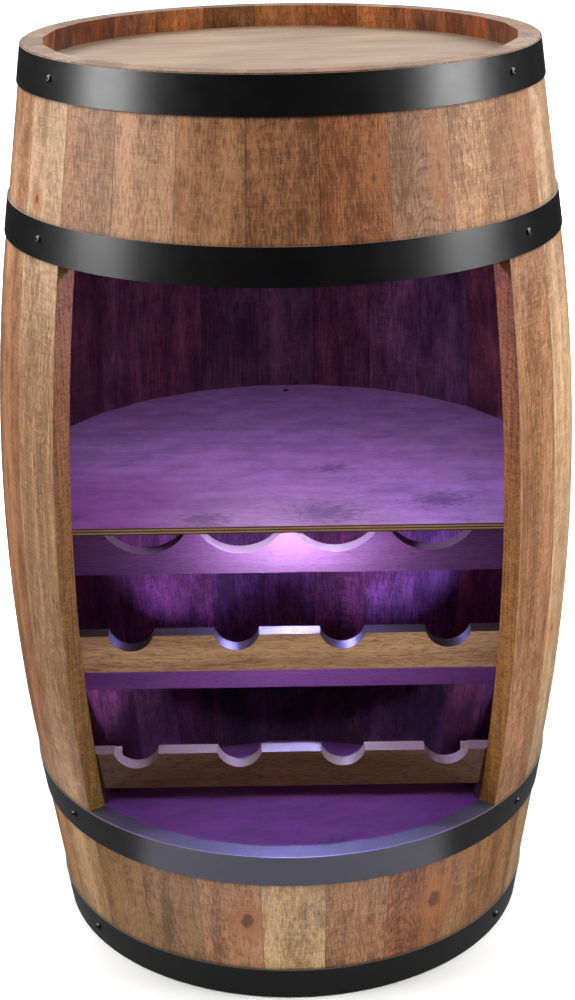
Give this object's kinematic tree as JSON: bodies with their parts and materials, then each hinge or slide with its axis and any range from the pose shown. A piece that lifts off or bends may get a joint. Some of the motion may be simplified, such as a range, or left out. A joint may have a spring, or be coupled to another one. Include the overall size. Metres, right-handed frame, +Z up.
{
  "type": "barrel bar cabinet",
  "caption": "Wooden barrel on end with its front staves cut away over a shelf and a rack for laid-down bottles, banded in black steel and lit inside by push lamps.",
  "frame": {"origin": "on the floor, under the middle of the cabinet's bounding box; the barrel's own axis is 8.2 mm in front of it", "axes": "+Z up, +Y to the back, the opening faces -Y, +X to the right seen from the front"},
  "size_m": [0.5088, 0.4925, 0.8],
  "materials": {
    "stave_wood": "stained brown hardwood under satin lacquer, each stave a little different",
    "head_ply": "paler pinkish tan, satin",
    "shelf_ply": "light ply with a five-layer edge, satin",
    "rail_wood": "golden brown hardwood, satin",
    "block_wood": "plain sawn softwood, stained",
    "hoop_steel": "satin black",
    "lamp_plastic": "white, fine matt",
    "lamp_lens": "milky, lit violet"
  },
  "bodies": {
    "barrel": {"stave_01": "stave_wood", "stave_02": "stave_wood", "stave_03": "stave_wood", "stave_04": "stave_wood", "stave_05": "stave_wood", "stave_06": "stave_wood", "stave_07": "stave_wood", "stave_08": "stave_wood", "stave_09": "stave_wood", "stave_10": "stave_wood", "stave_11": "stave_wood", "stave_12": "stave_wood", "stave_13": "stave_wood", "stave_14": "stave_wood", "stave_15": "stave_wood", "stave_16": "stave_wood", "stave_17": "stave_wood", "stave_18": "stave_wood", "stave_19": "stave_wood", "front_stave_1": "stave_wood", "front_stave_2": "stave_wood", "front_stave_3": "stave_wood", "front_stave_4": "stave_wood", "front_stave_5": "stave_wood", "front_stave_6": "stave_wood", "front_stave_7": "stave_wood", "hoops": "hoop_steel", "top_head": "head_ply", "bottom_head": "head_ply", "glass_shelf": "shelf_ply", "shelf_cleats": "block_wood", "rail_blocks": "block_wood", "neck_rail_low": "rail_wood", "neck_rail_high": "rail_wood", "body_rail_low": "rail_wood", "body_rail_high": "rail_wood", "ceiling_lamp_housing": "lamp_plastic", "shelf_lamp_housing": "lamp_plastic"},
    "ceiling_lens": {"ceiling_lamp_lens": "lamp_lens"},
    "shelf_lens": {"shelf_lamp_lens": "lamp_lens"}
  },
  "joints": [
    {"name": "ceiling_lens_press", "type": "slide", "parent": "barrel", "child": "ceiling_lens", "axis": [0, 0, 1], "range_m": [0, 0.0015], "stiffness_N_per_m": 800, "springref_m": -0.001},
    {"name": "shelf_lens_press", "type": "slide", "parent": "barrel", "child": "shelf_lens", "axis": [0, 0, 1], "range_m": [0, 0.0015], "stiffness_N_per_m": 800, "springref_m": -0.001}
  ]
}
